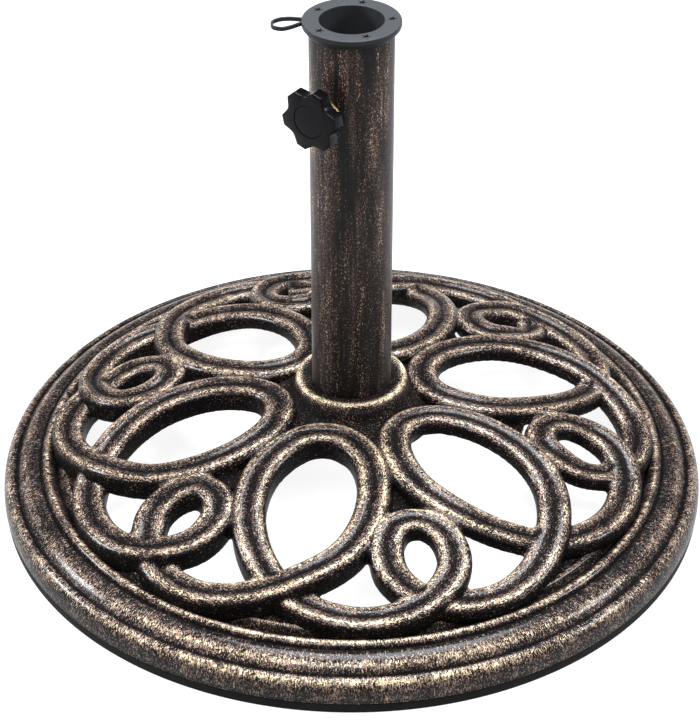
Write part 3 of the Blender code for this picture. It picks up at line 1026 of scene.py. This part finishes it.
def make_weld_nut():
    turned_clamp = CLAMP @ Matrix.Rotation(math.radians(NUT_TURN), 4, "Z")
    nut = chamfered_hex("clamp_nut", NUT_FLATS, NUT_FROM, NUT_TO, ZINC, ("high",), turned_clamp)
    around = TUBE_RADIUS + GAP
    saddle = turned("nut_saddle", [(0, 310), (around, 310), (around, 260), (0, 260)], None, 96)
    flared = [(0, 40), (17.0, 40), (SCREW_BORE, 27.3), (SCREW_BORE, 10), (0, 10)]
    cut(nut, saddle, turned("nut_bore", flared, None, 48, CLAMP))
    return sharp_by_angle(nut, HEX_SHARP)


def knob_outline(inset):
    """Six flat-ended lobes with a hollow arc between each two."""
    arc_steps = 16
    corners = []
    outer = KNOB_RADIUS - inset
    edge = math.asin((KNOB_FLAT - inset * 0.4) / outer)
    span = 2 * math.pi / KNOB_LOBES - 2 * edge
    for lobe in range(KNOB_LOBES):
        start = 2 * math.pi * lobe / KNOB_LOBES + math.radians(KNOB_TURN)
        for step in range(arc_steps + 1):
            share = step / arc_steps
            radius = outer - (KNOB_RADIUS - KNOB_WAIST) * math.sin(math.pi * share)
            fillet = 0.5 if step in (0, arc_steps) else 0.0
            corners.append((*on_circle(radius, start + edge + span * share), fillet))
    return rounded(corners, 4)


def make_knob():
    rings = [[(x, y, z) for x, y in knob_outline(inset)] for z, inset in KNOB_LEVELS]
    knob = lofted("clamp_star_knob", rings, KNOB_PLASTIC, CLAMP)
    boss_outline = rounded([
        (KNOB_BOSS, 38.6, 0.0), (KNOB_BOSS, BOSS_FROM, 0.6), (0, BOSS_FROM, 0.0), (0, 38.6, 0.0),
    ])
    boss = turned("knob_boss", boss_outline, None, 96, CLAMP)
    cut(knob, boss, operation="UNION")
    pocket_floor = HEAD_FROM - GAP
    recess_outline = [
        (0, 47), (CAP_SEAT, 47), (CAP_SEAT, CAP_FROM - GAP), (HEAD_POCKET, CAP_FROM - GAP),
        (HEAD_POCKET, pocket_floor), (0, pocket_floor),
    ]
    recess = turned("knob_recess", recess_outline, None, 96, CLAMP)
    cut(knob, recess, drill("knob_bore", SCREW_BORE, 30, 40))
    sharp_by_angle(knob, 35)
    cap_outline = rounded([
        (0, CAP_TO, 0.0), (CAP_RADIUS, CAP_TO, 0.25),
        (CAP_RADIUS, CAP_FROM, 0.2), (0, CAP_FROM, 0.0),
    ])
    cap = turned("knob_cover_cap", cap_outline, KNOB_PLASTIC, 96, CLAMP)
    head = chamfered_hex(
        "knob_screw_head", SCREW_FLATS, HEAD_FROM, HEAD_TO, ZINC, ("high",), CLAMP
    )
    sharp_by_angle(head, HEX_SHARP)
    shank_rings = thread(*SCREW_THREAD, SCREW_FROM, HEAD_FROM, 36)
    shank = lofted("knob_screw_shank", shank_rings, ZINC, CLAMP)
    tip_outline = rounded([
        (0, TIP_TO, 0.0), (TIP_RADIUS, TIP_TO, 0.3),
        (TIP_RADIUS, TIP_FROM, 0.9), (0, TIP_FROM, 0.0),
    ])
    tip = turned("thrust_tip_nylon", tip_outline, NYLON, 64, CLAMP)
    return knob, cap, head, shank, tip


# What holds the tube in the hub

def make_foot_fixing():
    plate_top = TUBE_FOOT + FOOT_PLATE
    edge = TUBE_RADIUS - TUBE_WALL - GAP
    plate = turned(
        "foot_plate",
        rounded([
            (FIXING_HOLE, plate_top, 0.4), (edge, plate_top, 0.5), (edge, TUBE_FOOT, 0.5),
            (FIXING_HOLE, TUBE_FOOT, 0.4),
        ]),
        STEEL, 128,
    )
    top = HUB_UNDER_Z - GAP
    low = top - WASHER
    washer = turned(
        "foot_washer",
        rounded([
            (FIXING_HOLE, top, 0.2), (WASHER_RADIUS, top, 0.3), (WASHER_RADIUS, low, 0.5),
            (FIXING_HOLE, low, 0.2),
        ]),
        ZINC, 96,
    )
    head_top = low - GAP - SPRING_WASHER - GAP
    head = chamfered_hex(
        "foot_bolt_head", BOLT_FLATS, head_top - BOLT_HEAD, head_top, ZINC, ("low",)
    )
    sharp_by_angle(head, HEX_SHARP)
    shank_rings = thread(*BOLT_THREAD, head_top, plate_top - 1.0, 40)
    shank = lofted("foot_bolt_shank", shank_rings, ZINC)
    return plate, washer, head, shank


def make_pieces():
    lattice = make_lattice()
    rim = make_rim()
    hub = make_hub()
    floor_ring = make_floor_ring()
    tube = make_tube()
    bush, reducer, strap = make_collar()
    nut = make_weld_nut()
    knob, cap, screw, shank, tip = make_knob()
    plate, washer, bolt, bolt_shank = make_foot_fixing()

    for piece, body, slot, nodes in (
        (lattice, "base", "antique_bronze_iron", ["base_casting"]),
        (rim, "base", "antique_bronze_iron", ["base_casting"]),
        (hub, "base", "antique_bronze_iron", ["base_casting"]),
        (floor_ring, "base", "black_rubber", ["floor_ring"]),
        (tube, "base", "antique_bronze_tube", ["pole_tube"]),
        (bush, "base", "black_plastic", ["collar_bush"]),
        (reducer, "reducer", "black_plastic", ["reducer_insert"]),
        (strap, "reducer", "black_plastic", ["reducer_insert"]),
        (nut, "base", "yellow_zinc", ["weld_nut"]),
        (knob, "clamp", "black_plastic", ["clamp_knob"]),
        (cap, "clamp", "black_plastic", ["knob_cap"]),
        (screw, "clamp", "yellow_zinc", ["knob_screw"]),
        (shank, "clamp", "yellow_zinc", ["knob_screw"]),
        (tip, "clamp_tip", "pale_nylon", ["thrust_tip"]),
        (plate, "base", "mild_steel", ["tube_foot_plate"]),
        (washer, "base", "yellow_zinc", ["hub_washer"]),
        (bolt, "base", "yellow_zinc", ["hub_bolt"]),
        (bolt_shank, "base", "yellow_zinc", ["hub_bolt"]),
    ):
        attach(piece, body)
        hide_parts(*nodes)
    # The spring washer stays as the CAD makes it
    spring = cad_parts["spring_washer"]
    spring.data.materials.clear()
    spring.data.materials.append(ZINC)


# The studio

FLOOR_REACH = 6.0
FLOOR_GREYS = ((0.20, 0.20, 0.20), (0.21, 0.21, 0.21))
FLOOR_GLOW = 0.91
AIR_STRENGTH = 0.17
COOL = (0.92, 0.97, 1.0)
LAMPS = (  # name, place, aimed at, width, watts, colour
    ("front_box", (-0.2, -1.0, 1.9), (0, 0, 0.05), 0.8, 35.0, (1.0, 0.98, 0.94)),
    ("top_box", (0.1, 0.6, 1.9), (0, 0, 0.05), 1.1, 68.0, (0.91, 0.955, 1.0)),
    ("right_box", (1.6, -0.1, 1.2), (0, 0, 0.1), 0.6, 29.0, COOL),
    ("left_box", (-1.7, 0.2, 1.0), (0, 0, 0.1), 0.6, 40.0, COOL),
)
CAMERA_PLACE = (0.0, -1.1655, 0.8952)
CAMERA_DOWN = 34.575
CAMERA_TURN = 0.05
CAMERA_LENS = 109.957


def make_studio():
    s = Shading("studio_floor")
    s.set(Base_Color=s.mix(s.noise(s.place, 3.0, 2.0), *FLOOR_GREYS))
    s.set(Roughness=0.9, Specular_IOR_Level=0.0)
    s.set(Emission_Color=(1.0, 1.0, 1.0), Emission_Strength=FLOOR_GLOW)
    reach = FLOOR_REACH / MM
    corners = [(-reach, -reach, 0), (reach, -reach, 0), (reach, reach, 0), (-reach, reach, 0)]
    floor = mesh_object("studio_floor", corners, [[0, 1, 2, 3]], s.material, False)
    floor.visible_diffuse = False

    world = bpy.data.worlds.new("studio_air")
    bpy.context.scene.world = world
    world.use_nodes = True
    air = world.node_tree.nodes["Background"]
    air.inputs["Color"].default_value = (1.0, 1.0, 1.0, 1.0)
    air.inputs["Strength"].default_value = AIR_STRENGTH

    for name, place, aim, width, watts, colour in LAMPS:
        lamp = bpy.data.lights.new(name, "AREA")
        lamp.shape = "DISK"
        lamp.size = width
        lamp.energy = watts
        lamp.color = colour
        stand = bpy.data.objects.new(name, lamp)
        stand.location = place
        looking = Vector(aim) - Vector(place)
        stand.rotation_euler = looking.to_track_quat("-Z", "Y").to_euler()
        bpy.context.scene.collection.objects.link(stand)


def make_camera():
    view = bpy.data.cameras.new("camera")
    view.sensor_width = 36.0
    view.lens = CAMERA_LENS
    camera = bpy.data.objects.new("camera", view)
    camera.location = CAMERA_PLACE
    camera.rotation_euler = (math.radians(90 - CAMERA_DOWN), 0.0, math.radians(CAMERA_TURN))
    bpy.context.scene.collection.objects.link(camera)
    bpy.context.scene.camera = camera


make_pieces()
make_studio()
make_camera()
bpy.context.scene.view_settings.view_transform = "Standard"
